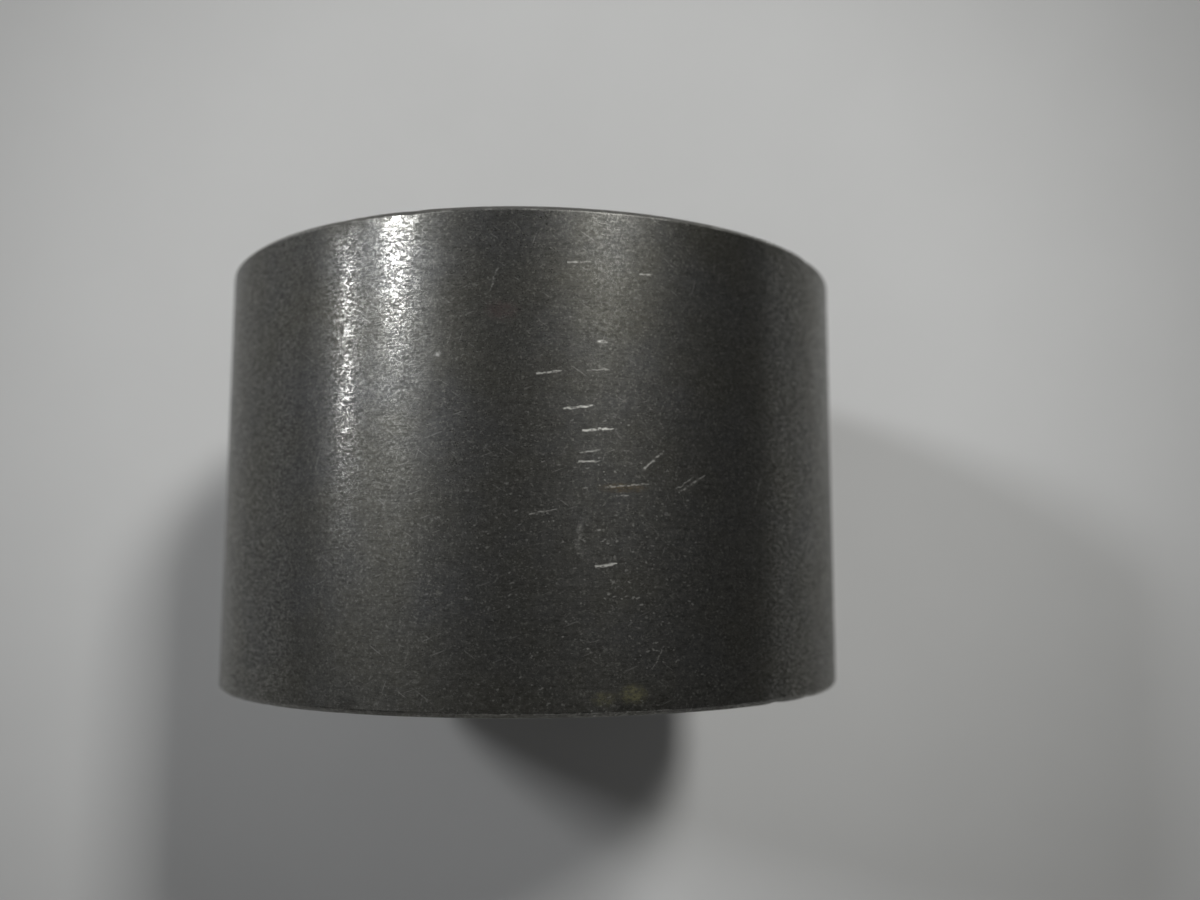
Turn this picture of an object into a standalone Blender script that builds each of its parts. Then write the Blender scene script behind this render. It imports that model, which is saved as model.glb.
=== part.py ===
"""Rigid sleeve coupling: a short turned steel sleeve with a keyed bore.

Each half of the bore takes one shaft end. A parallel key in the through keyway drives it, and two
socket set screws at 90 degrees hold it: one bears over the key, the other on the shaft. Each screw
pushes a loose brass pad ahead of it, so that the screw can turn while the pad only slides.

Frame: origin on the bore axis at mid length, +Y along the bore towards end A, +Z up. The sleeve
lies on its side with its plain half up: the keyway is 135 degrees from +Z round towards +X, and
the side screws are 135 degrees the other way. Metres.
"""

import math

import bmesh
import bpy
from mathutils import Matrix

MM = 0.001
TURN = 2 * math.pi

# Directions about the bore axis, from +Z towards +X
KEY_ANGLE = math.radians(135)     # the keyway and the screws over the keys
SIDE_ANGLE = math.radians(-135)   # the screws on the shaft

# Sleeve
OUTER_D = 50.0 * MM
LENGTH = 32.5 * MM
BORE_D = 25.0 * MM
OUTER_CHAMFER = 0.3 * MM
BORE_CHAMFER = 1.0 * MM
SLEEVE_STEPS = 96

# Keyway. "Inner" and "outer" are distances from the bore axis, here and below.
KEYWAY_W = 8.04 * MM
KEYWAY_FLOOR = 15.8 * MM          # from the bore axis
KEYWAY_CUT_INNER = 4.0 * MM       # inner face of the cutter, inside the bore
KEYWAY_OVERRUN = 2.0 * MM         # of the cutter, past each end of the sleeve

# Parallel keys, 8 x 7 section
KEY_W = 7.94 * MM
KEY_H = 7.0 * MM
KEY_INNER = 8.5 * MM              # the face in the shaft's keyseat
KEY_OUTER = KEY_INNER + KEY_H
KEY_LENGTH = 15.0 * MM
KEY_MIDDLE = 8.0 * MM             # from mid length
KEY_EDGE = 0.4 * MM
KEY_END_STEPS = 12                # round each end

# Tapped holes, M6 x 1
PITCH = 1.0 * MM
HOLE_MAJOR = 3.0 * MM             # radius
HOLE_MINOR = 2.4585 * MM          # radius
THREAD_STEPS = 16                 # per turn
SCREW_ROW = LENGTH / 4            # from mid length
SIDE_HOLE_INNER = 10.5 * MM       # inside the bore
KEY_HOLE_INNER = 13.0 * MM        # inside the keyway
HOLE_OUTER = 27.0 * MM            # clear of the sleeve
MOUTH_R = 2.6 * MM                # small radius of the countersink
MOUTH_INNER = 24.2 * MM
MOUTH_OUTER = 25.6 * MM

# Brass pads under the screws
PAD_R = 2.3 * MM
PAD_T = 1.5 * MM
PAD_EDGE = 0.2 * MM
PAD_GAP = 0.05 * MM               # between a pad and its screw
SIDE_PAD_INNER = BORE_D / 2 + 0.3 * MM    # short of the shaft
KEY_PAD_INNER = KEY_OUTER + 0.35 * MM     # short of the key

# Set screws
THREAD_PLAY = 0.11 * MM           # radial play of the screw in the hole
SCREW_ROOT = HOLE_MINOR - THREAD_PLAY
SCREW_CREST = HOLE_MAJOR - THREAD_PLAY
SIDE_SCREW_L = 10.0 * MM
KEY_SCREW_L = 6.0 * MM
CUP_R = 1.5 * MM
CUP_DEPTH = 0.6 * MM
POINT_R = SCREW_ROOT - 0.25 * MM  # of the flat ring round the cup
BLANK_R = 3.4 * MM                # of the trimming blank, clear of the crests
SOCKET_FLATS = 3.0 * MM
SOCKET_DEPTH = 3.2 * MM
SOCKET_TIP = 0.45 * SOCKET_FLATS / 2      # depth of the point below the flats
SOCKET_OVERRUN = 1.0 * MM

SMOOTH_ANGLE = math.radians(30)   # edges sharper than this are shaded sharp


# Materials, objects and meshes

def metal(name, colour, roughness):
    look = bpy.data.materials.new(name)
    look.use_nodes = True
    shader = look.node_tree.nodes["Principled BSDF"]
    shader.inputs["Base Color"].default_value = (*colour, 1.0)
    shader.inputs["Roughness"].default_value = roughness
    shader.inputs["Metallic"].default_value = 1.0
    look.diffuse_color = (*colour, 1.0)
    return look


def dressed(mesh, look):
    """The mesh with its one material and its shading."""
    mesh.materials.clear()
    mesh.materials.append(look)
    mesh.shade_smooth()
    mesh.set_sharp_from_angle(angle=SMOOTH_ANGLE)
    return mesh


def add_object(name, mesh, parent=None, y=0.0, roll=0.0, collection=None):
    """An object on the bore axis, or an empty if mesh is None. Roll turns its +Z towards +X."""
    obj = bpy.data.objects.new(name, mesh)
    (collection or bpy.context.scene.collection).objects.link(obj)
    obj.parent = parent
    obj.location = (0, y, 0)
    obj.rotation_euler = (0, roll, 0)
    return obj


def finished(name, bm):
    """Mesh of a closed solid, tidied and with its faces outwards."""
    bmesh.ops.dissolve_degenerate(bm, dist=1e-8, edges=bm.edges)
    bmesh.ops.recalc_face_normals(bm, faces=bm.faces)
    if bm.calc_volume(signed=True) < 0:
        bmesh.ops.reverse_faces(bm, faces=bm.faces)
    mesh = bpy.data.meshes.new(name)
    bm.to_mesh(mesh)
    bm.free()
    return mesh


def turned(name, profile, steps):
    """A (radius, height) profile, closed from its last point to its first, spun about Z."""
    bm = bmesh.new()
    verts = [bm.verts.new((radius, 0.0, z)) for radius, z in profile]
    edges = [bm.edges.new((verts[i], verts[(i + 1) % len(verts)])) for i in range(len(verts))]
    bmesh.ops.spin(bm, geom=verts + edges, axis=(0, 0, 1), cent=(0, 0, 0),
                   steps=steps, angle=TURN, use_merge=False)
    bmesh.ops.remove_doubles(bm, verts=bm.verts, dist=1e-7)
    return finished(name, bm)


def thread(name, minor, major, bottom, top):
    """A right-hand ISO thread as a solid rod about Z, reaching at least from bottom to top.

    Columns of points follow the profile's corners, each column a step further up the helix, so
    that the rod screws through itself exactly.
    """
    # (height in pitches, radius): crest from 0 to 1/8, root from 7/16 to 11/16
    corners = ((0.0, major), (1 / 8, major), (7 / 16, minor), (11 / 16, minor))
    first_turn = math.floor(bottom / PITCH)
    turns = math.ceil(top / PITCH) - first_turn + 1
    bm = bmesh.new()
    columns = []
    for i in range(THREAD_STEPS):
        angle = TURN * i / THREAD_STEPS
        columns.append([
            bm.verts.new((radius * math.cos(angle), radius * math.sin(angle),
                          (first_turn + k + rise + i / THREAD_STEPS) * PITCH))
            for k in range(turns) for rise, radius in corners
        ])
    per_turn, levels = len(corners), len(columns[0])
    first, last = columns[0], columns[-1]
    for here, after in zip(columns, columns[1:]):
        for n in range(levels - 1):
            bm.faces.new((here[n], after[n], after[n + 1], here[n + 1]))
    # The last column meets the first one turn higher.
    for n in range(levels - per_turn - 1):
        bm.faces.new((last[n], first[n + per_turn], first[n + per_turn + 1], last[n + 1]))
    # Each end is closed by a fan over its rim and the step left by the helix.
    upper = [column[-1] for column in columns] + [last[-2 - n] for n in range(per_turn)]
    lower = [column[0] for column in reversed(columns)] + [first[1 + n] for n in range(per_turn)]
    for rim in (upper, lower):
        middle = bm.verts.new((0, 0, sum(vert.co.z for vert in rim) / len(rim)))
        for n, vert in enumerate(rim):
            bm.faces.new((vert, rim[(n + 1) % len(rim)], middle))
    return finished(name, bm)


# Sleeve and its cutters

def sleeve_blank():
    """The turned sleeve, chamfered outside and at both mouths of the bore, laid along +Y."""
    outer, bore, end = OUTER_D / 2, BORE_D / 2, LENGTH / 2
    mesh = turned("sleeve", [
        (bore, -end + BORE_CHAMFER), (bore + BORE_CHAMFER, -end),
        (outer - OUTER_CHAMFER, -end), (outer, -end + OUTER_CHAMFER),
        (outer, end - OUTER_CHAMFER), (outer - OUTER_CHAMFER, end),
        (bore + BORE_CHAMFER, end), (bore, end - BORE_CHAMFER),
    ], SLEEVE_STEPS)
    # Half a step of roll puts a flat of the many sides, not an edge, underneath.
    mesh.transform(Matrix.Rotation(TURN / SLEEVE_STEPS / 2, 4, "Z"))
    mesh.transform(Matrix.Rotation(-math.pi / 2, 4, "X"))
    return mesh


def keyway_block():
    """A block that leaves the keyway on the +Z side of the bore, from end to end."""
    size = (KEYWAY_W, LENGTH + 2 * KEYWAY_OVERRUN, KEYWAY_FLOOR - KEYWAY_CUT_INNER)
    middle = (0, 0, (KEYWAY_FLOOR + KEYWAY_CUT_INNER) / 2)
    bm = bmesh.new()
    bmesh.ops.create_cube(bm, size=1.0)
    bmesh.ops.scale(bm, verts=bm.verts, vec=size)
    bmesh.ops.translate(bm, verts=bm.verts, vec=middle)
    return finished("keyway_cutter", bm)


def mouth_cone():
    """A 90 degree countersink for the outer end of a tapped hole."""
    return turned("mouth_cutter", [
        (0.0, MOUTH_INNER),
        (MOUTH_R, MOUTH_INNER),
        (MOUTH_R + MOUTH_OUTER - MOUTH_INNER, MOUTH_OUTER),
        (0.0, MOUTH_OUTER),
    ], THREAD_STEPS * 2)


def tapped_hole(name, inner):
    return thread(name, HOLE_MINOR, HOLE_MAJOR, inner, HOLE_OUTER)


# Key, pads and set screws

def parallel_key():
    """A round-ended key, its length along Y and its outer face towards +Z, with broken edges."""
    radius, straight = KEY_W / 2, KEY_LENGTH - KEY_W
    outline = []
    for side, start_angle in ((1, 0), (-1, math.pi)):
        for i in range(KEY_END_STEPS + 1):
            angle = start_angle + math.pi * i / KEY_END_STEPS
            outline.append((radius * math.cos(angle),
                            side * straight / 2 + radius * math.sin(angle)))
    bm = bmesh.new()
    face = bm.faces.new([bm.verts.new((x, y, KEY_INNER)) for x, y in outline])
    grown = bmesh.ops.extrude_face_region(bm, geom=[face])
    moved = [item for item in grown["geom"] if isinstance(item, bmesh.types.BMVert)]
    bmesh.ops.translate(bm, verts=moved, vec=(0, 0, KEY_OUTER - KEY_INNER))
    rims = [edge for edge in bm.edges if abs(edge.verts[0].co.z - edge.verts[1].co.z) < 1e-7]
    bmesh.ops.bevel(bm, geom=rims, offset=KEY_EDGE, segments=1, affect="EDGES",
                    profile=0.5, clamp_overlap=True)
    return finished("drive_key", bm)


def pad(name, inner):
    """A disc about Z with both rims chamfered."""
    outer = inner + PAD_T
    return turned(name, [
        (0.0, inner),
        (PAD_R - PAD_EDGE, inner), (PAD_R, inner + PAD_EDGE),
        (PAD_R, outer - PAD_EDGE), (PAD_R - PAD_EDGE, outer),
        (0.0, outer),
    ], 24)


def screw_blank(name, start, end):
    """The screw's turned envelope: cup point and a 45 degree chamfer at each end."""
    return turned(name, [
        (0.0, start + CUP_DEPTH),
        (CUP_R, start),
        (POINT_R, start),
        (BLANK_R, start + BLANK_R - POINT_R),
        (BLANK_R, end - (BLANK_R - SCREW_ROOT)),
        (SCREW_ROOT, end),
        (0.0, end),
    ], THREAD_STEPS)


def socket_prism(name, end):
    """A hexagonal prism, pointed at its lower end, for the socket in a screw's face at end."""
    bottom = end - SOCKET_DEPTH
    radius = SOCKET_FLATS / 2 / math.cos(math.pi / 6)
    angles = [TURN * (n + 0.5) / 6 for n in range(6)]
    bm = bmesh.new()
    lower, upper = [
        [bm.verts.new((radius * math.cos(angle), radius * math.sin(angle), z)) for angle in angles]
        for z in (bottom, end + SOCKET_OVERRUN)
    ]
    tip = bm.verts.new((0, 0, bottom - SOCKET_TIP))
    bm.faces.new(upper)
    for n in range(6):
        m = (n + 1) % 6
        bm.faces.new((lower[n], lower[m], upper[m], upper[n]))
        bm.faces.new((lower[m], lower[n], tip))
    return finished(name, bm)


def set_screw(name, pad_inner, length):
    """A socket set screw with a cup point, along Z, outwards from its pad."""
    start = pad_inner + PAD_T + PAD_GAP
    end = start + length
    rod = add_object(name, thread(name, SCREW_ROOT, SCREW_CREST,
                                  start - 2 * PITCH, end + 2 * PITCH))
    blank = add_object(name + "_blank", screw_blank(name + "_blank", start, end))
    socket = add_object(name + "_socket", socket_prism(name + "_socket", end))
    for operation, tool in (("INTERSECT", blank), ("DIFFERENCE", socket)):
        trim = rod.modifiers.new(operation.title(), "BOOLEAN")
        trim.operation = operation
        trim.solver = "EXACT"
        trim.object = tool

    # Keep the trimmed mesh and remove the objects it was made from.
    bpy.context.view_layer.update()
    graph = bpy.context.evaluated_depsgraph_get()
    mesh = bpy.data.meshes.new_from_object(rod.evaluated_get(graph), depsgraph=graph)
    mesh.name = name
    for obj in (rod, blank, socket):
        bpy.data.objects.remove(obj)
    return mesh


# Assembly

for old in list(bpy.data.objects):
    bpy.data.objects.remove(old)

dark_steel = metal("dark_steel", colour=(0.16, 0.16, 0.155), roughness=0.42)
bright_steel = metal("bright_steel", colour=(0.55, 0.55, 0.56), roughness=0.32)
black_oxide = metal("black_oxide", colour=(0.035, 0.035, 0.038), roughness=0.38)
brass = metal("brass", colour=(0.72, 0.52, 0.22), roughness=0.3)

coupling = add_object("coupling", None)
sleeve = add_object("sleeve", dressed(sleeve_blank(), dark_steel), coupling)

cutters = bpy.data.collections.new("sleeve_cutters")
bpy.context.scene.collection.children.link(cutters)


def add_cutter(name, mesh, parent, roll=0.0):
    """A wire-drawn, unrendered object that the sleeve's boolean takes away."""
    obj = add_object(name, mesh, parent, roll=roll, collection=cutters)
    obj.hide_render = True
    obj.display_type = "WIRE"


add_cutter("keyway_cutter", keyway_block(), coupling, roll=KEY_ANGLE)
mouth = mouth_cone()

# Kind, direction, tapped hole, screw and pad; each mesh serves both ends.
STATIONS = (
    ("side", SIDE_ANGLE,
     tapped_hole("tapped_hole", SIDE_HOLE_INNER),
     dressed(set_screw("side_set_screw", SIDE_PAD_INNER, SIDE_SCREW_L), black_oxide),
     dressed(pad("side_pad", SIDE_PAD_INNER), brass)),
    ("key", KEY_ANGLE,
     tapped_hole("tapped_hole_key", KEY_HOLE_INNER),
     dressed(set_screw("key_set_screw", KEY_PAD_INNER, KEY_SCREW_L), black_oxide),
     dressed(pad("key_pad", KEY_PAD_INNER), brass)),
)
ENDS = (("a", 1), ("b", -1))      # name, side along Y

# A station is an empty on the bore axis whose +Z points out along its hole.
for end_name, y_side in ENDS:
    for kind, direction, hole_mesh, screw_mesh, pad_mesh in STATIONS:
        station = add_object(f"{kind}_station_{end_name}", None, coupling,
                             y=y_side * SCREW_ROW, roll=direction)
        add_cutter(f"{kind}_hole_{end_name}", hole_mesh, station)
        add_cutter(f"{kind}_mouth_{end_name}", mouth, station)
        add_object(f"{kind}_set_screw_{end_name}", screw_mesh, station)
        add_object(f"{kind}_pad_{end_name}", pad_mesh, station)

cut = sleeve.modifiers.new("Keyway and tapped holes", "BOOLEAN")
cut.operation = "DIFFERENCE"
cut.solver = "EXACT"
cut.operand_type = "COLLECTION"
cut.collection = cutters

key_mesh = dressed(parallel_key(), bright_steel)
for end_name, y_side in ENDS:
    add_object(f"drive_key_{end_name}", key_mesh, coupling, y=y_side * KEY_MIDDLE, roll=KEY_ANGLE)
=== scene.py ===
"""Rigid sleeve coupling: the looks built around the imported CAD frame.

Every CAD node is replaced by a finer mesh of the same piece, in the same place: the turned sleeve with
rounded and slightly knocked edges, M6 screws with rounded threads, keys and pads with broken edges.
Lengths are in millimetres in the geometry code and go to metres at the end.
"""

import math

import bmesh
import bpy
import numpy as np
from mathutils import Matrix, Vector


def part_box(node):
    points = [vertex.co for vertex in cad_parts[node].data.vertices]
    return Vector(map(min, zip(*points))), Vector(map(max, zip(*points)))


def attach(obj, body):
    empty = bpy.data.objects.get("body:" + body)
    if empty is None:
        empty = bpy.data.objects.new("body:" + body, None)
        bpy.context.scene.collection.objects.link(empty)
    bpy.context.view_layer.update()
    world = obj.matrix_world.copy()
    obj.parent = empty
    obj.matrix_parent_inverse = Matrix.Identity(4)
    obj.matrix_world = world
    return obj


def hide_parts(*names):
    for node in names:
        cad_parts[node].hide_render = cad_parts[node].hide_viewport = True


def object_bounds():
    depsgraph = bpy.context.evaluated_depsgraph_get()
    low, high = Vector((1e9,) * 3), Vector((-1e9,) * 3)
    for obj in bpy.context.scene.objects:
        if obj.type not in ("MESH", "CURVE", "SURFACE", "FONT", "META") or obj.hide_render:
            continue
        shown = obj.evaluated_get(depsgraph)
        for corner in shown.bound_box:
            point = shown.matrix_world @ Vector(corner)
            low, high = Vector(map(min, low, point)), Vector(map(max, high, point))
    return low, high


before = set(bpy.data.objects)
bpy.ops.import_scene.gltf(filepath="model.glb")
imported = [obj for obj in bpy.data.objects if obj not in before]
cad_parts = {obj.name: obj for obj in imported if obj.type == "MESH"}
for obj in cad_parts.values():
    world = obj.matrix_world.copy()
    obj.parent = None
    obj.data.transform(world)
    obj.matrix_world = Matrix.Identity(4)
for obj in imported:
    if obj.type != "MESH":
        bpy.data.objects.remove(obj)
cad_low, cad_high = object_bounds()

MM = 0.001
TURN = 2 * math.pi
HALF = math.radians(135)  # the keyway is this far round from the top towards +X, the side screws towards -X

sleeve_low, sleeve_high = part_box("sleeve")
OUTER_R = min(-sleeve_low.z, sleeve_high.z) / MM - 0.002  # just inside the CAD's flats
HALF_L = sleeve_high.y / MM
BORE_R = 12.5
OUTER_CHAMFER, BORE_CHAMFER = 0.3, 1.0
KEYWAY_W, KEYWAY_FLOOR = 8.04, 15.8
PITCH, HOLE_MAJOR, HOLE_MINOR, PLAY = 1.0, 3.0, 2.4585, 0.11
SCREW_ROW = 8.125
PAD_R, PAD_T = 2.3, 1.5


# ---------------------------------------------------------------- geometry


def rounded(points, radii, parts=4, closed=True):
    """A polyline's corners replaced by arcs of the given radii."""
    out, n = [], len(points)
    for i, (p, r) in enumerate(zip(points, radii)):
        p = np.array(p, float)
        if not r or (not closed and i in (0, n - 1)):
            out.append(tuple(p))
            continue
        a = np.array(points[i - 1], float) - p
        b = np.array(points[(i + 1) % n], float) - p
        la, lb = np.linalg.norm(a), np.linalg.norm(b)
        a, b = a / la, b / lb
        half = math.acos(np.clip(a @ b, -1, 1)) / 2
        reach = min(r / math.tan(half), 0.45 * la, 0.45 * lb)
        r = reach * math.tan(half)
        centre = p + (a + b) / np.linalg.norm(a + b) * (r / math.sin(half))
        start, end = p + a * reach - centre, p + b * reach - centre
        angle = math.acos(np.clip(start @ end / (r * r), -1, 1))
        for k in range(parts + 1):
            t = k / parts
            v = (math.sin((1 - t) * angle) * start + math.sin(t * angle) * end) / math.sin(angle)
            out.append(tuple(centre + v))
    return out


def divided(points, longest, closed=True):
    """A polyline with its long sides cut into shorter ones."""
    out, n = [], len(points)
    for i in range(n if closed else n - 1):
        a, b = np.array(points[i], float), np.array(points[(i + 1) % n], float)
        parts = max(1, math.ceil(np.linalg.norm(b - a) / longest - 1e-6))
        out += [tuple(a + (b - a) * k / parts) for k in range(parts)]
    return out if closed else out + [tuple(points[-1])]


def to_mesh(name, verts, faces):
    mesh = bpy.data.meshes.new(name)
    mesh.from_pydata([tuple(v) for v in verts], [], faces)
    bm = bmesh.new()
    bm.from_mesh(mesh)
    bmesh.ops.dissolve_degenerate(bm, dist=1e-6, edges=bm.edges)
    bmesh.ops.recalc_face_normals(bm, faces=bm.faces)
    if bm.calc_volume(signed=True) < 0:
        bmesh.ops.reverse_faces(bm, faces=bm.faces)
    bm.to_mesh(mesh)
    bm.free()
    return mesh


def ring_mesh(name, profile, steps, shift=None):
    """A closed (radius, height) profile spun about Z. shift may move the points, given radius, height and angle."""
    n = len(profile)
    angle = np.repeat(TURN * (np.arange(steps) + 0.5) / steps, n)
    r = np.tile([p[0] for p in profile], steps)
    z = np.tile([p[1] for p in profile], steps)
    if shift:
        r, z = shift(r, z, angle)
    verts = np.stack([r * np.cos(angle), r * np.sin(angle), z], axis=1)
    faces = [
        (i * n + j, ((i + 1) % steps) * n + j, ((i + 1) % steps) * n + (j + 1) % n, i * n + (j + 1) % n)
        for i in range(steps)
        for j in range(n)
    ]
    return to_mesh(name, verts, faces)


def rod_mesh(name, outline, steps):
    """A (radius, height) outline spun about Z and closed on the axis at both ends, each of them (0, height)."""
    rings = outline[1:-1]
    n = len(rings)
    angle = np.repeat(TURN * np.arange(steps) / steps, n)
    r, z = np.tile([p[0] for p in rings], steps), np.tile([p[1] for p in rings], steps)
    verts = list(np.stack([r * np.cos(angle), r * np.sin(angle), z], axis=1))
    verts += [(0, 0, outline[0][1]), (0, 0, outline[-1][1])]
    first, last = len(verts) - 2, len(verts) - 1
    faces = []
    for i in range(steps):
        k = (i + 1) % steps
        faces += [(i * n + j, k * n + j, k * n + j + 1, i * n + j + 1) for j in range(n - 1)]
        faces += [(k * n, i * n, first), (i * n + n - 1, k * n + n - 1, last)]
    return to_mesh(name, verts, faces)


def thread_mesh(name, minor, major, bottom, top, steps, corners=None):
    """A right-hand M6 thread as a solid rod about Z, in step with the CAD's, with a rounded crest and root."""
    corners = corners or (
        (0.0, major), (1 / 8, major), (0.155, major - 0.03 * (major - minor)),
        (0.41, minor + 0.05 * (major - minor)), (7 / 16, minor), (11 / 16, minor),
        (0.715, minor + 0.05 * (major - minor)), (0.97, major - 0.03 * (major - minor)),
    )
    first, step = math.floor(bottom / PITCH), len(corners)
    turns = math.ceil(top / PITCH) - first + 1
    verts = []
    for i in range(steps):
        a = TURN * i / steps
        verts += [
            (r * math.cos(a), r * math.sin(a), (first + k + u + i / steps) * PITCH)
            for k in range(turns)
            for u, r in corners
        ]
    levels = turns * step
    faces = []
    for i in range(steps - 1):
        a, b = i * levels, (i + 1) * levels
        faces += [(a + n, b + n, b + n + 1, a + n + 1) for n in range(levels - 1)]
    a = (steps - 1) * levels
    faces += [(a + n, n + step, n + step + 1, a + n + 1) for n in range(levels - step - 1)]
    upper = [i * levels + levels - 1 for i in range(steps)] + [a + levels - 2 - n for n in range(step)]
    lower = [i * levels for i in reversed(range(steps))] + [1 + n for n in range(step)]
    for loop in (upper, lower):
        verts.append((0, 0, sum(verts[v][2] for v in loop) / len(loop)))
        faces += [(len(verts) - 1, loop[(n + 1) % len(loop)], v) for n, v in enumerate(loop)]
    return to_mesh(name, verts, faces)


def hex_mesh(name, flats, bottom, top):
    """A socket cutter: a hexagon with broken corners and a drilled cone below it."""
    outline = []
    for n in range(6):
        a = TURN * (n + 0.5) / 6
        r = flats / 2 / math.cos(math.pi / 6)
        outline.append((r * math.cos(a), r * math.sin(a)))
    outline = rounded(outline, [0.12] * 6, 3)
    n = len(outline)
    verts = [(x, y, bottom) for x, y in outline] + [(x, y, top) for x, y in outline]
    verts += [(0, 0, bottom - 0.6), (0, 0, top)]
    faces = []
    for i in range(n):
        k = (i + 1) % n
        faces += [(i, k, n + k, n + i), (k, i, 2 * n), (n + i, n + k, 2 * n + 1)]
    return to_mesh(name, verts, faces)


def temporary(name, mesh):
    obj = bpy.data.objects.new(name, mesh)
    bpy.context.scene.collection.objects.link(obj)
    return obj


def cut(name, mesh, steps):
    """The mesh after its Boolean steps, each ("DIFFERENCE" or "INTERSECT", mesh). The helpers are removed."""
    body = temporary(name, mesh)
    helpers = []
    for operation, tool in steps:
        helper = temporary(name + "_tool", tool)
        helpers.append(helper)
        mod = body.modifiers.new(operation.title(), "BOOLEAN")
        mod.operation, mod.solver, mod.object = operation, "EXACT", helper
    bpy.context.view_layer.update()
    graph = bpy.context.evaluated_depsgraph_get()
    result = bpy.data.meshes.new_from_object(body.evaluated_get(graph), depsgraph=graph)
    for obj in (body, *helpers):
        bpy.data.objects.remove(obj)
    # The slivers that a Boolean leaves along its cuts are closed up.
    tidy = bmesh.new()
    tidy.from_mesh(result)
    bmesh.ops.remove_doubles(tidy, verts=tidy.verts, dist=2e-4)
    bmesh.ops.dissolve_degenerate(tidy, edges=tidy.edges, dist=1e-4)
    tidy.to_mesh(result)
    tidy.free()
    result.name = name
    return result


def place(name, mesh, turn, y, body, node, slot, *materials):
    """Makes a piece of a mesh in millimetres, turned about Y and moved along it, and lets it ride on its body."""
    mesh.transform(Matrix.Scale(MM, 4) @ Matrix.Translation((0, y, 0)) @ Matrix.Rotation(turn, 4, "Y"))
    obj = bpy.data.objects.new(name, mesh)
    bpy.context.scene.collection.objects.link(obj)
    mesh.materials.clear()
    for m in materials:
        mesh.materials.append(m)
    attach(obj, body)
    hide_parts(node)
    return obj


def smooth(mesh, angle=30):
    mesh.shade_smooth()
    mesh.set_sharp_from_angle(angle=math.radians(angle))


def rim_knocks(seed, count):
    """Small knocks along both outer rims: each pushes the edge in over a fraction of a millimetre."""
    rng = np.random.default_rng(seed)
    at = rng.uniform(0, TURN, count)
    end = rng.choice((-1, 1), count)
    width = rng.uniform(0.25, 0.7, count)
    depth = rng.uniform(0.03, 0.13, count) * (width / 0.5)
    slant = rng.uniform(0.2, 0.8, count)

    def shift(r, z, angle):
        dr, dz = np.zeros_like(r), np.zeros_like(z)
        for a, e, w, d, s in zip(at, end, width, depth, slant):
            across = OUTER_R * (np.mod(angle - a + math.pi, TURN) - math.pi)
            along = HALF_L - 0.5 * OUTER_CHAMFER - e * z
            off = OUTER_R - 0.5 * OUTER_CHAMFER - r
            g = d * np.exp(-(across / w) ** 2 - (np.hypot(along, off) / (0.55 + w * 0.6)) ** 2)
            dr -= g * s
            dz -= g * (1 - s) * e
        return r + dr, z + dz

    return shift


# ---------------------------------------------------------------- materials


class Graph:
    """A node tree being written: each call adds a node and returns its output."""

    def __init__(self, tree):
        self.tree = tree

    def put(self, socket, value):
        if isinstance(value, bpy.types.NodeSocket):
            self.tree.links.new(value, socket)
        elif value is not None:
            socket.default_value = value

    def add(self, kind, inputs=(), **settings):
        node = self.tree.nodes.new(kind)
        for k, v in settings.items():
            setattr(node, k, v)
        pairs = inputs.items() if isinstance(inputs, dict) else enumerate(inputs)
        for k, v in pairs:
            self.put(node.inputs[k], v)
        return node

    def math(self, operation, *values, clamp=False):
        return self.add("ShaderNodeMath", values, operation=operation, use_clamp=clamp).outputs[0]

    def vector(self, operation, *values):
        node = self.add("ShaderNodeVectorMath", operation=operation)
        for socket, v in zip((s for s in node.inputs if s.enabled), values):
            self.put(socket, v)
        return next(o for o in node.outputs if o.enabled)

    def combine(self, x, y, z):
        return self.add("ShaderNodeCombineXYZ", (x, y, z)).outputs[0]

    def split(self, v):
        return self.add("ShaderNodeSeparateXYZ", (v,)).outputs[:3]

    def noise(self, vector, scale, detail=2.0, rough=0.5, distortion=0.0):
        node = self.add("ShaderNodeTexNoise", {"Vector": vector, "Scale": scale, "Detail": detail, "Roughness": rough, "Distortion": distortion})
        return node.outputs["Fac"]

    def span(self, value, a, b, lo=0.0, hi=1.0, smooth=True):
        kind = "SMOOTHSTEP" if smooth else "LINEAR"
        return self.add("ShaderNodeMapRange", {"Value": value, "From Min": a, "From Max": b, "To Min": lo, "To Max": hi}, interpolation_type=kind).outputs[0]

    def mix(self, factor, a, b):
        node = self.add("ShaderNodeMix", data_type="RGBA")
        self.put(node.inputs[0], factor)
        self.put(node.inputs[6], a)
        self.put(node.inputs[7], b)
        return node.outputs[2]

    def blend(self, factor, a, b):
        node = self.add("ShaderNodeMix", data_type="FLOAT")
        self.put(node.inputs[0], factor)
        self.put(node.inputs[2], a)
        self.put(node.inputs[3], b)
        return node.outputs[0]


def new_material(name, colour):
    mat = bpy.data.materials.new(name)
    mat.use_nodes = True
    mat.diffuse_color = (*colour, 1)
    g = Graph(mat.node_tree)
    g.shader = mat.node_tree.nodes["Principled BSDF"]
    g.shader.inputs["Metallic"].default_value = 1.0
    g.material = mat
    g.point = g.vector("MULTIPLY", g.add("ShaderNodeTexCoord").outputs["Object"], (1000, 1000, 1000))  # in millimetres
    return g


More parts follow.
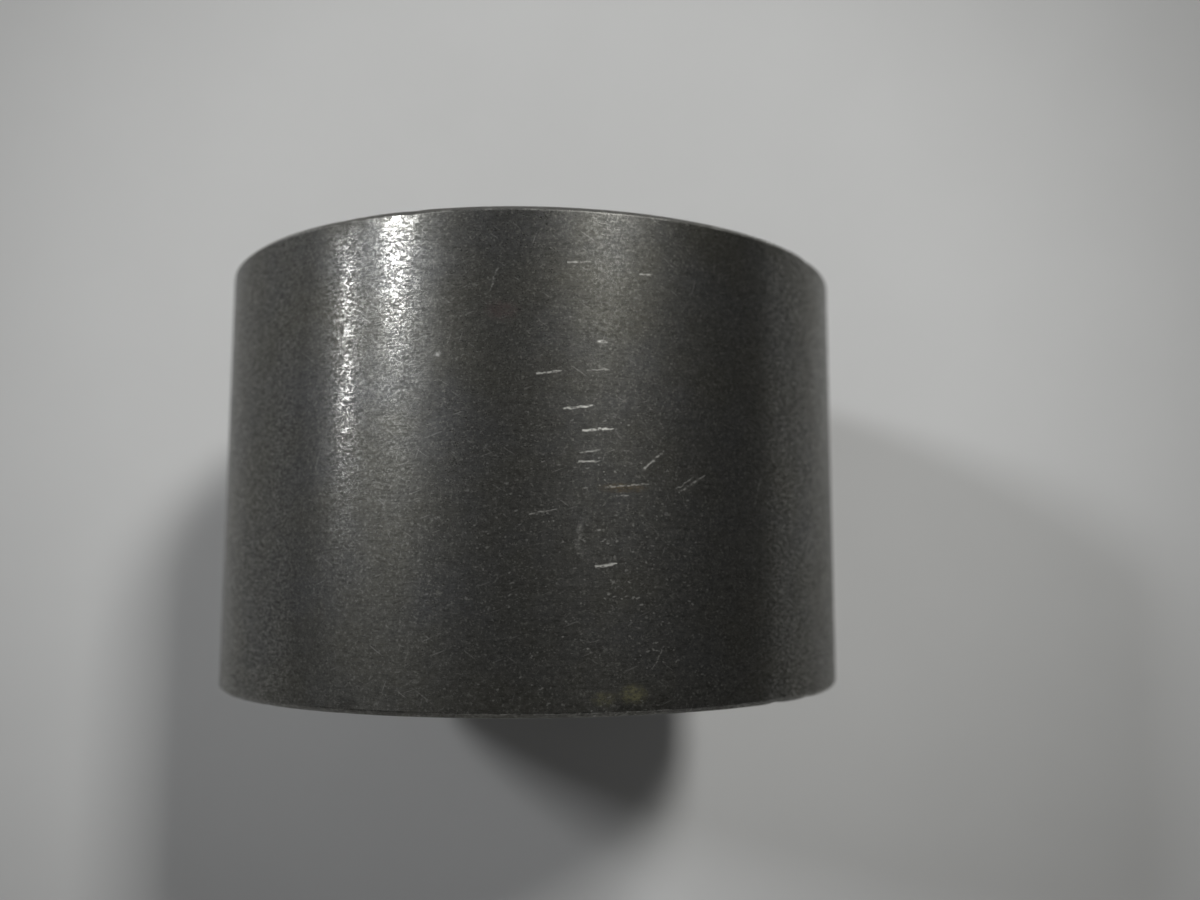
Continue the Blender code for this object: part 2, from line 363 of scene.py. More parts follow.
def stroke_group():
    """Nearness to the segment from A to B: 1 on it, 0 at Width away, tapering towards B."""
    tree = bpy.data.node_groups.new("stroke", "ShaderNodeTree")
    for name, kind in (("P", "NodeSocketVector"), ("A", "NodeSocketVector"), ("B", "NodeSocketVector"), ("Width", "NodeSocketFloat")):
        tree.interface.new_socket(name, in_out="INPUT", socket_type=kind)
    tree.interface.new_socket("Mask", in_out="OUTPUT", socket_type="NodeSocketFloat")
    g = Graph(tree)
    given = g.add("NodeGroupInput").outputs
    from_a = g.vector("SUBTRACT", given["P"], given["A"])
    along = g.vector("SUBTRACT", given["B"], given["A"])
    t = g.math("DIVIDE", g.vector("DOT_PRODUCT", from_a, along), g.vector("DOT_PRODUCT", along, along), clamp=True)
    foot = g.add("ShaderNodeVectorMath", operation="SCALE")
    g.put(foot.inputs[0], along)
    g.put(foot.inputs["Scale"], t)
    gap = g.vector("LENGTH", g.vector("SUBTRACT", from_a, foot.outputs[0]))
    width = g.math("MULTIPLY", given["Width"], g.span(t, 0.75, 1.0, 1.0, 0.45))
    mask = g.math("SUBTRACT", 1.0, g.math("DIVIDE", gap, width), clamp=True)
    out = g.add("NodeGroupOutput")
    g.put(out.inputs["Mask"], mask)
    return tree


# Wear on the plain half, as real parts have it: (distance round from the top in mm, y in mm) of both ends,
# half-width in mm and how bright the bared metal is.
MARKS = (
    ((2.1, 12.5), (3.5, 12.6), 0.10, 0.35), ((6.9, 12.0), (7.8, 12.1), 0.10, 0.40),
    ((1.9, 8.9), (2.5, 8.9), 0.10, 0.25), ((4.1, 7.4), (4.7, 7.4), 0.16, 0.50),
    ((0.1, 5.2), (1.7, 5.4), 0.10, 0.75), ((3.3, 5.5), (5.0, 5.6), 0.07, 0.25),
    ((1.9, 3.0), (3.8, 3.2), 0.11, 0.85), ((3.1, 1.6), (5.1, 1.8), 0.11, 0.90),
    ((2.9, 0.2), (4.2, 0.4), 0.09, 0.45), ((2.8, -0.4), (4.2, -0.3), 0.10, 0.65),
    ((7.1, -0.8), (8.5, 0.5), 0.10, 0.60), ((9.6, -2.2), (11.6, -1.0), 0.10, 0.60),
    ((9.4, -2.0), (10.8, -1.1), 0.07, 0.45), ((4.5, -2.0), (7.4, -1.7), 0.09, 0.45),
    ((5.3, -2.5), (6.0, -2.5), 0.09, 0.40), ((-0.3, -3.7), (1.5, -3.4), 0.08, 0.45),
    ((2.9, -4.4), (2.8, -5.3), 0.30, 0.16), ((2.7, -5.6), (3.1, -6.4), 0.30, 0.12),
    ((3.9, -7.0), (5.2, -6.8), 0.14, 1.00), ((4.0, -4.7), (4.5, -4.7), 0.12, 0.35),
    ((16.7, -1.1), (16.0, -3.0), 0.12, 0.20), ((8.4, -12.0), (7.6, -13.4), 0.09, 0.25),
    ((-2.5, 12.1), (-2.9, 10.5), 0.10, 0.25), ((-6.4, 6.5), (-6.1, 6.5), 0.18, 0.45),
)


def turned_steel(name, marked):
    """Dark steel with turning lines round the axis. The outside also carries grain, worn marks and knocks, a painted
    glint along its rim edges and a painted reflection on its chamfers.
    """
    g = new_material(name, (0.16, 0.16, 0.155))
    x, y, z = g.split(g.point)
    radius = g.math("SQRT", g.math("ADD", g.math("MULTIPLY", x, x), g.math("MULTIPLY", z, z)))
    around = g.math("MULTIPLY", g.math("ARCTAN2", x, z), OUTER_R)
    geometry = g.add("ShaderNodeNewGeometry").outputs["Normal"]
    normal = g.add("ShaderNodeVectorTransform", (geometry,), vector_type="NORMAL", convert_from="WORLD", convert_to="OBJECT").outputs[0]
    facing = g.span(g.math("ABSOLUTE", g.split(normal)[1]), 0.75, 0.9)
    # The tool's feed: along the axis on a turned wall, outwards on a faced end.
    feed = g.blend(facing, y, radius)
    level = g.blend(facing, 1.0, g.math("DIVIDE", 0.75 * OUTER_R, radius))
    lathe = g.combine(g.math("MULTIPLY", x, level), feed, g.math("MULTIPLY", z, level))

    def stretched(round_scale, feed_scale):
        """Coordinates whose features run round the axis for 1 / round_scale mm, with no seam."""
        return g.vector("MULTIPLY", lathe, (round_scale, feed_scale, round_scale))

    lines = g.noise(stretched(0.25, 5.0), 1.0, 2, 0.6)          # turning lines, about 0.2 mm apart
    dashes = g.noise(stretched(1.9, 10.0), 1.0, 2, 0.6)         # the same lines broken up
    grain = g.noise(g.point, 5.5, 2, 0.6)                      # speckle of about 0.2 mm
    fine = g.noise(stretched(16.0, 30.0), 1.0, 1, 0.5)
    drawn = g.noise(stretched(6.0, 0.35), 1.0, 1, 0.5)          # faint lines along the axis
    cloud = g.noise(g.point, 0.16, 3, 0.55)
    patch = g.noise(g.vector("ADD", g.point, (31, 7, 15)), 0.6, 3, 0.6)

    height = g.math("ADD", g.math("MULTIPLY", lines, g.blend(facing, LINE_H, 2 * LINE_H)), g.math("MULTIPLY", dashes, g.blend(facing, DASH_H, 0.35 * DASH_H)))
    height = g.math("ADD", height, g.math("MULTIPLY", grain, GRAIN_H))
    height = g.math("ADD", height, g.math("MULTIPLY", drawn, g.blend(facing, 0.8, 0.0)))
    relief = g.math("ADD", g.math("MULTIPLY", dashes, 0.6), g.math("MULTIPLY", grain, 0.4))
    pits = g.span(relief, 0.50, 0.33)
    flecks = g.span(grain, 0.54, 0.70)
    # Where the tops are rubbed smooth: mostly finer than the eye sees, and more of it on high spots.
    polish = g.span(g.math("ADD", fine, g.math("MULTIPLY", g.math("SUBTRACT", relief, 0.5), RELIEF_SHARE)), *POLISHED)
    polish = g.math("MULTIPLY", polish, g.span(patch, 0.25, 0.65, 0.6, 1.0))

    tone = g.mix(g.span(cloud, 0.3, 0.7), (*STEEL_COOL, 1), (*STEEL_WARM, 1))
    tone = g.mix(g.math("MULTIPLY", g.span(patch, 0.45, 0.75), 0.25), tone, (0.100, 0.097, 0.088, 1))
    tone = g.mix(g.math("MULTIPLY", g.span(lines, 0.52, 0.35), 0.25), tone, (0.055, 0.054, 0.050, 1))
    mottle = g.noise(g.vector("ADD", g.point, (5, 9, 3)), 2.4, 2, 0.6)
    tone = g.mix(g.math("MULTIPLY", g.span(mottle, 0.5, 0.36), 0.32), tone, (0.060, 0.059, 0.054, 1))
    tone = g.mix(g.math("MULTIPLY", g.span(mottle, 0.5, 0.66), 0.24), tone, (0.21, 0.208, 0.19, 1))
    tone = g.mix(g.math("MULTIPLY", pits, 0.50), tone, (0.035, 0.034, 0.031, 1))
    tone = g.mix(g.math("MULTIPLY", flecks, 0.80), tone, (0.26, 0.258, 0.235, 1))
    tone = g.mix(g.math("MULTIPLY", polish, POLISH_TONE), tone, (0.34, 0.335, 0.315, 1))
    rough = g.blend(polish, ROUGH, ROUGH_POLISH)

    # Edges rubbed bright, unevenly, at the corners of the chamfers: partly real edge wear, partly a painted glint,
    # stronger on the far rim than on the front one.
    to_rim = g.math("SUBTRACT", HALF_L, g.math("ABSOLUTE", y))
    corner = g.math("MINIMUM", g.math("ABSOLUTE", g.math("SUBTRACT", to_rim, OUTER_CHAMFER)), g.math("ABSOLUTE", g.math("SUBTRACT", g.math("SUBTRACT", OUTER_R, radius), OUTER_CHAMFER)))
    uneven = g.span(g.noise(stretched(0.8, 0.8), 1.0, 4, 0.7), 0.48, 0.72)
    rim_scuff_and_glint = g.math("MULTIPLY", g.span(corner, 0.08, 0.0), uneven)
    wear_and_glint = g.math("MULTIPLY", rim_scuff_and_glint, g.span(y, -2.0, 2.0, 0.4, 0.65))
    # Painted reflection on the chamfers: their colour is lightened as if they mirrored the pale paper.
    bevel = g.span(g.math("ADD", to_rim, g.math("SUBTRACT", OUTER_R, radius)), OUTER_CHAMFER + 0.12, OUTER_CHAMFER + 0.03)
    bevel = g.math("MULTIPLY", bevel, g.span(y, -2.0, 2.0, 0.2, 1.0))  # the painted reflection is weaker on the front rim
    tone = g.mix(g.math("MULTIPLY", bevel, g.span(uneven, 0.0, 1.0, 0.35, 0.6)), tone, (0.36, 0.355, 0.335, 1))

    # Fine scratches in two crossing directions.
    for angle, cutoff in ((0.35, 0.735), (-0.6, 0.745), (1.25, 0.755)):
        c, s = math.cos(angle), math.sin(angle)
        across = g.math("ADD", g.math("MULTIPLY", around, -s), g.math("MULTIPLY", feed, c))
        along = g.math("ADD", g.math("MULTIPLY", around, c), g.math("MULTIPLY", feed, s))
        scratch = g.noise(g.combine(g.math("MULTIPLY", along, 0.45), g.math("MULTIPLY", across, 7.0), angle * 9), 1.0, 1, 0.5)
        wear_and_glint = g.math("MAXIMUM", wear_and_glint, g.math("MULTIPLY", g.span(scratch, cutoff, cutoff + 0.05), 0.18))

    if marked:
        shake = g.add("ShaderNodeTexNoise", {"Vector": g.point, "Scale": 2.2, "Detail": 2}).outputs["Color"]
        shake = g.vector("MULTIPLY", g.vector("SUBTRACT", shake, (0.5, 0.5, 0.5)), (0.35, 0.22, 0))
        place_on = g.vector("ADD", g.combine(around, y, 0), shake)
        broken = g.span(g.noise(stretched(3.0, 5.5), 1.0, 2, 0.6), 0.38, 0.60, 0.12, 1.0)
        group = stroke_group()
        marks = None
        for a, b, width, strength in MARKS:
            node = g.add("ShaderNodeGroup", node_tree=group)
            for socket, v in (("P", place_on), ("A", (*a, 0)), ("B", (*b, 0)), ("Width", width)):
                g.put(node.inputs[socket], v)
            m = g.math("MULTIPLY", node.outputs["Mask"], 1.5 * strength, clamp=True)
            marks = m if marks is None else g.math("MAXIMUM", marks, m)
        wear_and_glint = g.math("MAXIMUM", wear_and_glint, g.math("MULTIPLY", marks, broken))
        # Small bright specks, thickest about the marks and towards the front rim.
        bright_speck = g.noise(g.vector("MULTIPLY", g.point, (3.0, 4.2, 3.0)), 1.0, 1, 0.5)
        about = g.vector("LENGTH", g.vector("DIVIDE", g.vector("SUBTRACT", g.combine(around, y, 0), (4.5, -8.5, 0)), (13.0, 15.0, 1)))
        thick = g.math("MULTIPLY", g.span(about, 1.3, 0.35), g.span(patch, 0.38, 0.62, 0.3, 1.0))
        bright_speck = g.math("MULTIPLY", g.span(bright_speck, 0.65, 0.74), thick)
        wear_and_glint = g.math("MAXIMUM", wear_and_glint, g.math("MULTIPLY", bright_speck, 0.36))
        # A brown stain beside one mark, a reddish cast and a little dried yellow residue near the front rim.
        for (u, v), size, colour, amount in (((5.7, -2.0), (2.0, 0.42), (0.185, 0.145, 0.09), 0.75), ((-2.1, 9.3), (1.5, 0.9), (0.17, 0.12, 0.12), 0.4), ((6.3, -14.9), (1.2, 0.8), (0.36, 0.345, 0.20), 0.75), ((4.4, -15.1), (1.0, 0.6), (0.30, 0.29, 0.18), 0.6)):
            off = g.vector("DIVIDE", g.vector("SUBTRACT", place_on, (u, v, 0)), (*size, 1))
            spot = g.span(g.vector("LENGTH", off), 1.0, 0.3)
            spot = g.math("MULTIPLY", spot, g.math("ADD", 0.2, g.math("MULTIPLY", broken, 0.8)))
            tone = g.mix(g.math("MULTIPLY", spot, amount), tone, (*colour, 1))

    # Bared metal and the painted rim glints, in a bright colour.
    tone = g.mix(wear_and_glint, tone, (0.80, 0.79, 0.75, 1))
    rough = g.blend(wear_and_glint, rough, 0.43)

    # Light spreads across the lines.
    outwards = g.vector("NORMALIZE", g.combine(x, 0.0, z))
    tangent = g.vector("NORMALIZE", g.mix(facing, (0, 1, 0, 1), outwards))
    tangent = g.add("ShaderNodeVectorTransform", (tangent,), vector_type="VECTOR", convert_from="OBJECT", convert_to="WORLD").outputs[0]

    aslant = g.add("ShaderNodeLayerWeight", {"Blend": 0.5}).outputs["Facing"]
    bump = g.add("ShaderNodeBump", {"Strength": g.span(aslant, 0.4, 0.75, 1.0, 0.4), "Distance": 1e-6, "Height": height})
    s = g.shader.inputs
    g.put(s["Base Color"], tone)
    g.put(s["Roughness"], rough)
    g.put(s["Normal"], bump.outputs[0])
    g.put(s["Tangent"], tangent)
    g.put(s["Anisotropic"], g.math("MULTIPLY", polish, ANISOTROPY))
    g.put(s["Specular Tint"], (1.0, 1.0, 0.99, 1))
    return g.material


def plain_metal(name, base, spare, rough, grain_axis=None, worn=None):
    """Finished metal with a fine grain along one axis, soft clouding and rubbed spots."""
    g = new_material(name, base)
    stretch = {"Y": (6, 0.4, 6), None: (3, 3, 3)}[grain_axis]
    fine = g.noise(g.vector("MULTIPLY", g.point, stretch), 1.0, 3, 0.6)
    cloud = g.noise(g.point, 0.5, 3, 0.55)
    speck = g.noise(g.point, 5.0, 2, 0.6)
    tone = g.mix(g.span(cloud, 0.3, 0.7), (*base, 1), (*spare, 1))
    tone = g.mix(g.math("MULTIPLY", g.span(speck, 0.6, 0.75), 0.3), tone, tuple(c * 0.5 for c in base) + (1,))
    ruff = g.span(fine, 0.3, 0.7, rough - 0.07, rough + 0.08)
    if worn:
        geometry = g.add("ShaderNodeNewGeometry").outputs["Pointiness"]
        edge = g.math("MULTIPLY", g.span(geometry, 0.53, 0.6), g.span(g.noise(g.point, 2.5, 3, 0.6), 0.4, 0.65))
        tone = g.mix(g.math("MULTIPLY", edge, 0.8), tone, (*worn, 1))
        ruff = g.blend(edge, ruff, 0.3)
    height = g.math("ADD", g.math("MULTIPLY", fine, 2.0), g.math("MULTIPLY", speck, 1.5))
    bump = g.add("ShaderNodeBump", {"Strength": 1.0, "Distance": 1e-6, "Height": height})
    s = g.shader.inputs
    g.put(s["Base Color"], tone)
    g.put(s["Roughness"], ruff)
    g.put(s["Normal"], bump.outputs[0])
    return g.material


# The sleeve's finish. Heights are in micrometres.
STEEL_COOL, STEEL_WARM = (0.109, 0.1095, 0.110), (0.112, 0.109, 0.095)
LINE_H, DASH_H, GRAIN_H = 2.2, 2.5, 0.3
ROUGH, ROUGH_POLISH, ANISOTROPY = 0.46, 0.15, 0.4
POLISH_TONE, POLISHED, RELIEF_SHARE = 1.0, (0.545, 0.65), 1.0

turned = turned_steel("steel_turned", True)
bored = turned_steel("steel_bored", False)
cut_steel = plain_metal("steel_cut", (0.20, 0.20, 0.195), (0.17, 0.168, 0.16), 0.36, "Y")
key_steel = plain_metal("steel_drawn", (0.52, 0.52, 0.53), (0.46, 0.455, 0.44), 0.30, "Y")
oxide = plain_metal("steel_blackened", (0.040, 0.040, 0.043), (0.055, 0.052, 0.050), 0.36, None, (0.42, 0.41, 0.40))
brass = plain_metal("brass_turned", (0.72, 0.52, 0.22), (0.62, 0.43, 0.19), 0.28)


# ---------------------------------------------------------------- the sleeve

profile = [
    (BORE_R, -HALF_L + BORE_CHAMFER), (BORE_R + BORE_CHAMFER, -HALF_L),
    (OUTER_R - OUTER_CHAMFER, -HALF_L), (OUTER_R, -HALF_L + OUTER_CHAMFER),
    (OUTER_R, HALF_L - OUTER_CHAMFER), (OUTER_R - OUTER_CHAMFER, HALF_L),
    (BORE_R + BORE_CHAMFER, HALF_L), (BORE_R, HALF_L - BORE_CHAMFER),
]
profile = rounded(profile, [0.12, 0.10, 0.12, 0.16, 0.16, 0.12, 0.10, 0.12], 3)
profile = divided(profile, 1.1)
blank = ring_mesh("sleeve_blank", profile, 360, rim_knocks(11, 46))
blank.transform(Matrix.Rotation(-math.pi / 2, 4, "X"))

keyway = bmesh.new()
bmesh.ops.create_cube(keyway, size=1.0)
bmesh.ops.scale(keyway, verts=keyway.verts, vec=(KEYWAY_W, 2 * HALF_L + 4, KEYWAY_FLOOR - 4))
bmesh.ops.translate(keyway, verts=keyway.verts, vec=(0, 0, (KEYWAY_FLOOR + 4) / 2))
bmesh.ops.bevel(keyway, geom=[e for e in keyway.edges if all(v.co.z > 10 for v in e.verts) and abs(e.verts[0].co.y - e.verts[1].co.y) > 1], offset=0.25, segments=4, affect="EDGES", profile=0.5)
keyway_mesh = bpy.data.meshes.new("keyway_tool")
keyway.to_mesh(keyway_mesh)
keyway.free()
keyway_mesh.transform(Matrix.Rotation(HALF, 4, "Y"))

steps = [("DIFFERENCE", keyway_mesh)]
for turn, low in ((HALF, 13.0), (-HALF, 10.5)):
    for y in (SCREW_ROW, -SCREW_ROW):
        at = Matrix.Translation((0, y, 0)) @ Matrix.Rotation(turn, 4, "Y")
        hole = thread_mesh("hole_tool", HOLE_MINOR, HOLE_MAJOR, low, 27.0, 40)
        hole.transform(at)
        mouth = rod_mesh("mouth_tool", [(0, 24.2), (2.6, 24.2), (4.0, 25.6), (0, 25.6)], 64)
        mouth.transform(at)
        steps += [("DIFFERENCE", hole), ("DIFFERENCE", mouth)]
sleeve_mesh = cut("sleeve_body", blank, steps)
smooth(sleeve_mesh, 28)


def true_normals(mesh):
    """Exact normals on the turned walls and faced ends, so that the cuts leave no trace in the shading, and the
    material each face takes."""
    count = len(mesh.loops)
    vertex = np.empty(count, np.int32)
    mesh.loops.foreach_get("vertex_index", vertex)
    point = np.empty(len(mesh.vertices) * 3, np.float32)
    mesh.vertices.foreach_get("co", point)
    point = point.reshape(-1, 3)[vertex].astype(float)
    sizes = np.empty(len(mesh.polygons), np.int32)
    mesh.polygons.foreach_get("loop_total", sizes)
    flat = np.empty(len(mesh.polygons) * 3, np.float32)
    mesh.polygons.foreach_get("normal", flat)
    flat = flat.reshape(-1, 3).astype(float)
    face = np.repeat(np.arange(len(sizes)), sizes)
    corner = np.empty(count * 3, np.float32)
    mesh.corner_normals.foreach_get("vector", corner)
    corner = corner.reshape(-1, 3).astype(float)

    r = np.hypot(point[:, 0], point[:, 2])
    out = np.stack([point[:, 0] / r, np.zeros(count), point[:, 2] / r], axis=1)
    radial = (flat[face] * out).sum(1)
    for where, normal in (
        ((radial > 0.9995) & (abs(r - OUTER_R) < 2e-3), out),
        ((radial < -0.9995) & (abs(r - BORE_R) < 2e-3), -out),
    ):
        corner[where] = normal[where]
    ends = abs(flat[face][:, 1]) > 0.99999
    corner[ends] = np.stack([np.zeros(count), np.sign(flat[face][:, 1]), np.zeros(count)], axis=1)[ends]

    first = np.concatenate([[0], np.cumsum(sizes)[:-1]])
    centre_r = np.add.reduceat(r, first) / sizes
    face_radial = np.add.reduceat(radial, first) / sizes
    deepest = np.add.reduceat(np.abs(point[:, 1]), first) / sizes
    centre = np.add.reduceat(point, first) / sizes[:, None]
    in_hole = np.zeros(len(sizes), bool)
    for turn in (HALF, -HALF):
        aside = centre[:, 0] * math.cos(turn) - centre[:, 2] * math.sin(turn)
        forward = centre[:, 0] * math.sin(turn) + centre[:, 2] * math.cos(turn)
        for y in (SCREW_ROW, -SCREW_ROW):
            in_hole |= (np.hypot(aside, centre[:, 1] - y) < 3.9) & (forward > 0)
    outside = (face_radial > 0.02) & (centre_r > OUTER_R - OUTER_CHAMFER - 0.3) & ~in_hole
    outside |= (face_radial > 0.999) & (centre_r > OUTER_R - 0.4)
    faced = (abs(flat[:, 1]) > 0.55) & (deepest > HALF_L - BORE_CHAMFER - 0.2)
    bore = (face_radial < -0.9) & (centre_r < BORE_R + BORE_CHAMFER + 0.1)
    zone = np.full(len(sizes), 2, np.int32)
    zone[faced | bore] = 1
    zone[outside] = 0
    mesh.polygons.foreach_set("material_index", zone)
    mesh.normals_split_custom_set([tuple(n) for n in corner / np.linalg.norm(corner, axis=1)[:, None]])
    mesh.update()


for m in (turned, bored, cut_steel):
    sleeve_mesh.materials.append(m)
true_normals(sleeve_mesh)
zones = np.empty(len(sleeve_mesh.polygons), np.int32)
sleeve_mesh.polygons.foreach_get("material_index", zones)
sleeve = place("sleeve_body", sleeve_mesh, 0, 0, "sleeve", "sleeve", "dark_steel", turned, bored, cut_steel)
sleeve_mesh.polygons.foreach_set("material_index", zones)


# ---------------------------------------------------------------- screws, pads and keys


def screw_mesh(name, start, length):
    end, root, wide = start + length, HOLE_MINOR - PLAY, 3.4
    rod = thread_mesh(name, root, HOLE_MAJOR - PLAY, start - 2, end + 2, 48)
    blank = rod_mesh(name + "_blank", [
        (0, start + 0.6), (1.42, start + 0.05), (1.5, start), (1.62, start + 0.02),
        (root - 0.33, start + 0.02), (root - 0.24, start + 0.06),
        (wide, start + wide - root + 0.28), (wide, end - (wide - root) - 0.04),
        (root + 0.06, end - 0.06), (root - 0.04, end), (0, end),
    ], 48)
    socket = hex_mesh(name + "_socket", 3.0, end - 3.2, end + 1)
    lead = rod_mesh(name + "_lead", [(0, end - 0.22), (1.5, end - 0.22), (2.0, end + 0.28), (0, end + 0.28)], 48)
    mesh = cut(name, rod, [("INTERSECT", blank), ("DIFFERENCE", socket), ("DIFFERENCE", lead)])
    smooth(mesh, 24)
    return mesh


def pad_mesh(name, inner):
    outer = inner + PAD_T
    outline = rounded(
        [(0, inner), (PAD_R - 0.2, inner), (PAD_R, inner + 0.2), (PAD_R, outer - 0.2), (PAD_R - 0.2, outer), (0, outer)],
        [0, 0.12, 0.12, 0.12, 0.12, 0], 3, closed=False,
    )
    mesh = rod_mesh(name, outline, 64)
    smooth(mesh)
    return mesh


def key_mesh(name):
    """A round-ended key with its length along Y and its outer face towards +Z."""
    r, straight, n = 3.97, 15.0 - 7.94, 28
    outline = []
    for side in (1, -1):
        for i in range(n + 1):
            a = (0 if side > 0 else math.pi) + math.pi * i / n
            outline.append((r * math.cos(a), side * straight / 2 + r * math.sin(a)))
    bm = bmesh.new()
    face = bm.faces.new([bm.verts.new((px, py, 8.5)) for px, py in outline])
    grown = bmesh.ops.extrude_face_region(bm, geom=[face])
    bmesh.ops.translate(bm, verts=[v for v in grown["geom"] if isinstance(v, bmesh.types.BMVert)], vec=(0, 0, 7.0))
    rims = [e for e in bm.edges if abs(e.verts[0].co.z - e.verts[1].co.z) < 1e-6]
    bmesh.ops.bevel(bm, geom=rims, offset=0.4, segments=4, affect="EDGES", profile=0.55, clamp_overlap=True)
    bmesh.ops.recalc_face_normals(bm, faces=bm.faces)
    mesh = bpy.data.meshes.new(name)
    bm.to_mesh(mesh)
    bm.free()
    smooth(mesh, 35)
    return mesh


for end, y in (("a", SCREW_ROW), ("b", -SCREW_ROW)):
    for kind, turn, pad_at, length in (("side", -HALF, 12.8, 10.0), ("key", HALF, 15.85, 6.0)):
        screw = screw_mesh(f"{kind}_screw_{end}", pad_at + PAD_T + 0.05, length)
        place(f"{kind}_screw_{end}", screw, turn, y, f"{kind}_set_screw_{end}", f"{kind}_set_screw_{end}", "black_oxide", oxide)
        pad = pad_mesh(f"{kind}_brass_{end}", pad_at)
        place(f"{kind}_brass_{end}", pad, turn, y, f"{kind}_pad_{end}", f"{kind}_pad_{end}", "brass", brass)
    key = key_mesh(f"key_{end}")
    place(f"key_{end}", key, HALF, math.copysign(8.0, y), f"drive_key_{end}", f"drive_key_{end}", "bright_steel", key_steel)


# ---------------------------------------------------------------- floor, light and camera

FLOOR_Z = cad_low.z - 0.00002
ROOM, ROOM_FILL, BACKDROP = 0.055, 0.35, 0.40

paper = new_material("paper", (0.74, 0.74, 0.73))
fibre = paper.noise(paper.point, 0.09, 4, 0.6)
tone = paper.mix(paper.span(fibre, 0.3, 0.7), (0.735, 0.735, 0.733, 1), (0.748, 0.748, 0.746, 1))
# Painted shade on the paper: its colour darkens away from the part, fully for a camera looking steeply down, less for
# low views and for reflections.
aside = paper.vector("LENGTH", paper.vector("MULTIPLY", paper.vector("SUBTRACT", paper.point, (4.5, 17, 0)), (1, 1, 0)))
shade = paper.span(aside, 38, 104, 1.0, 0.55)  # painted shade towards the corners of the view
steep = paper.span(paper.split(paper.add("ShaderNodeNewGeometry").outputs["Incoming"])[2], 0.45, 0.75)
amount = paper.blend(paper.add("ShaderNodeLightPath").outputs["Is Camera Ray"], 0.75, paper.blend(steep, 0.3, 1.0))
shade = paper.blend(amount, 1.0, shade)
tone = paper.vector("MULTIPLY", tone, paper.combine(shade, shade, shade))
paper.put(paper.shader.inputs["Base Color"], tone)
paper.put(paper.shader.inputs["Roughness"], 0.75)
paper.put(paper.shader.inputs["Metallic"], 0.0)
paper.put(paper.shader.inputs["Specular IOR Level"], 0.15)
# Far from the object the paper runs into the backdrop, for the camera only.
far = paper.span(paper.vector("LENGTH", paper.point), 150, 420)
far = paper.math("MULTIPLY", far, paper.add("ShaderNodeLightPath").outputs["Is Camera Ray"])
glow = paper.add("ShaderNodeEmission", {"Color": (1, 1, 0.99, 1), "Strength": BACKDROP}).outputs[0]
both = paper.add("ShaderNodeMixShader", (far, paper.shader.outputs[0], glow)).outputs[0]
paper.put(paper.tree.nodes["Material Output"].inputs["Surface"], both)
floor_mesh = bpy.data.meshes.new("floor")
floor_mesh.from_pydata([(-3, -3, FLOOR_Z), (3, -3, FLOOR_Z), (3, 3, FLOOR_Z), (-3, 3, FLOOR_Z)], [], [(0, 1, 2, 3)])
floor_mesh.materials.append(paper.material)
floor = bpy.data.objects.new("floor", floor_mesh)
bpy.context.scene.collection.objects.link(floor)


def lamp(name, azimuth, tilt, distance, wide, tall, watts, colour):
    """A rectangular soft light. Azimuth is from the top towards +X, tilt from there towards +Y, in degrees."""
    data = bpy.data.lights.new(name, "AREA")
    data.shape, data.size, data.size_y, data.energy, data.color = "RECTANGLE", wide, tall, watts, colour
    obj = bpy.data.objects.new(name, data)
    bpy.context.scene.collection.objects.link(obj)
    a, t = math.radians(azimuth), math.radians(tilt)
    direction = Vector((math.sin(a) * math.cos(t), math.sin(t), math.cos(a) * math.cos(t)))
    z = direction
    xa = Vector((math.cos(a), 0, -math.sin(a)))
    ya = z.cross(xa)
    obj.matrix_world = Matrix.Translation(direction * distance) @ Matrix((xa, ya, z)).transposed().to_4x4()
    return obj


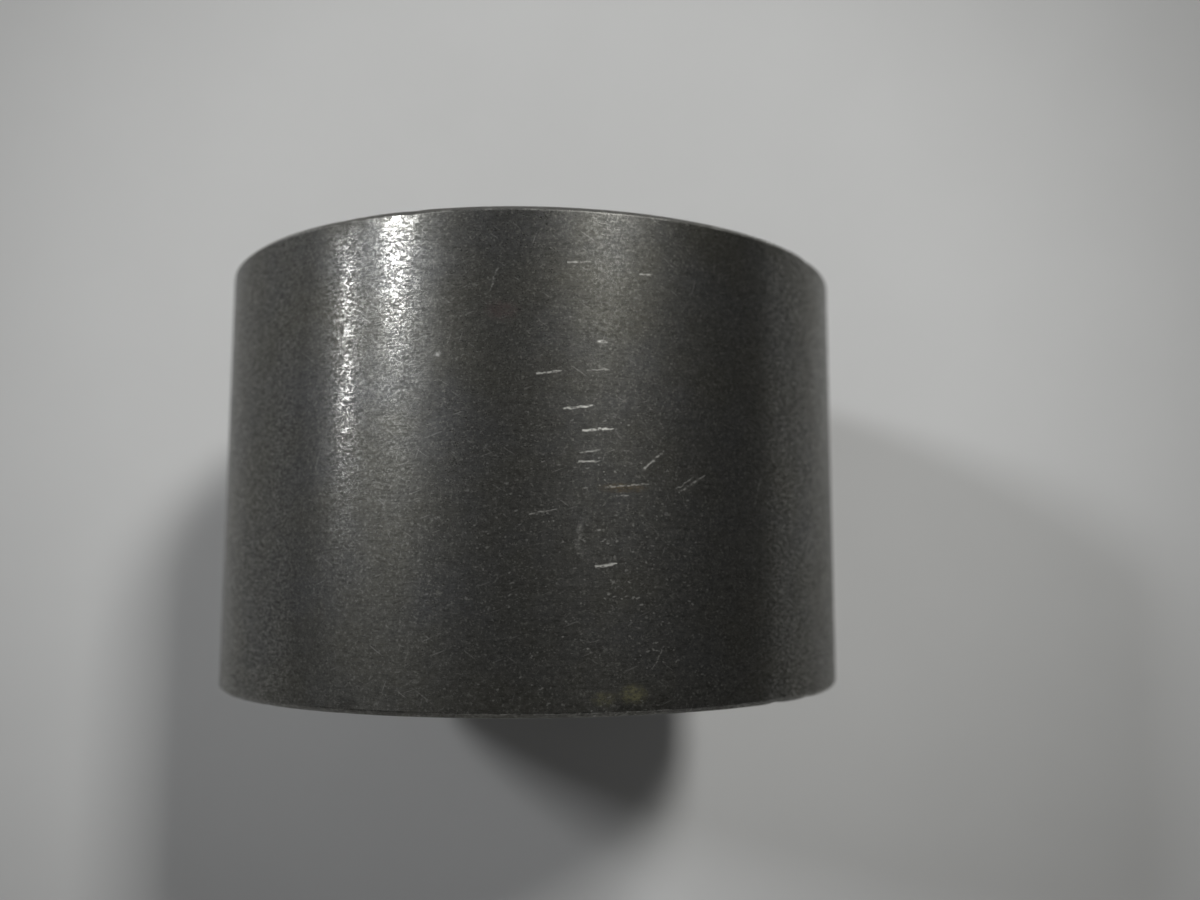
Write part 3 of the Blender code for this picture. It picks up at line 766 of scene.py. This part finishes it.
LIGHTS = (
    ("window_left", -49.9, 21, 0.76, 0.066, 0.12, 1.6, (0.97, 0.985, 1.0)),
    ("window_low", -68.5, 13, 0.76, 0.022, 0.15, 0.38, (0.95, 0.965, 1.0)),
    ("ceiling_right", 26.2, 32.8, 0.76, 0.135, 0.185, 2.85, (1.0, 1.0, 0.975)),
    ("ceiling_glint", 26.2, 32.8, 0.76, 0.135, 0.185, 2.1, (1.0, 1.0, 0.975)),
)
for settings in LIGHTS:
    light = lamp(*settings)
    light.visible_diffuse = settings[0] not in ("window_low", "ceiling_glint")  # only the metal shows these two
    light.visible_glossy = settings[0] != "ceiling_right"  # the metal shows its fainter twin

world = bpy.data.worlds.new("room")
bpy.context.scene.world = world
world.use_nodes = True
w = Graph(world.node_tree)
background = world.node_tree.nodes["Background"]
look = w.add("ShaderNodeTexCoord").outputs["Generated"]
dx, dy, dz = w.split(look)
fill = w.math("MULTIPLY", w.span(w.math("ABSOLUTE", dy), 0.62, 0.98), w.span(dz, 0.75, 0.2))
level = w.math("ADD", ROOM, w.math("MULTIPLY", fill, ROOM_FILL))
seen = w.add("ShaderNodeLightPath").outputs["Is Camera Ray"]
w.put(background.inputs["Color"], (1, 1, 0.99, 1))
w.put(background.inputs["Strength"], w.blend(seen, level, BACKDROP))

camera_data = bpy.data.cameras.new("camera")
camera_data.sensor_width, camera_data.lens = 36, 31.86
camera_data.clip_start, camera_data.clip_end = 0.005, 20
camera = bpy.data.objects.new("camera", camera_data)
bpy.context.scene.collection.objects.link(camera)
pitch, yaw = math.radians(-6.41), math.radians(3.55)
camera.matrix_world = (
    Matrix.Translation((0, -0.286 * OUTER_R * MM, 3.661 * OUTER_R * MM))
    @ (Matrix.Rotation(pitch, 4, "X") @ Matrix.Rotation(yaw, 4, "Y")).transposed()
)
bpy.context.scene.camera = camera

# The focus stays on the near face: a point 25 mm from the middle, on the camera's side.
middle = bpy.data.objects.new("middle", None)
focus = bpy.data.objects.new("focus", None)
for e in (middle, focus):
    bpy.context.scene.collection.objects.link(e)
follow = focus.constraints.new("COPY_LOCATION")
follow.target = camera
near = focus.constraints.new("LIMIT_DISTANCE")
near.target, near.distance, near.limit_mode = middle, OUTER_R * MM, "LIMITDIST_INSIDE"
camera_data.dof.use_dof = True
camera_data.dof.focus_object = focus
camera_data.dof.aperture_fstop = 18

bpy.context.scene.view_settings.view_transform = "Standard"
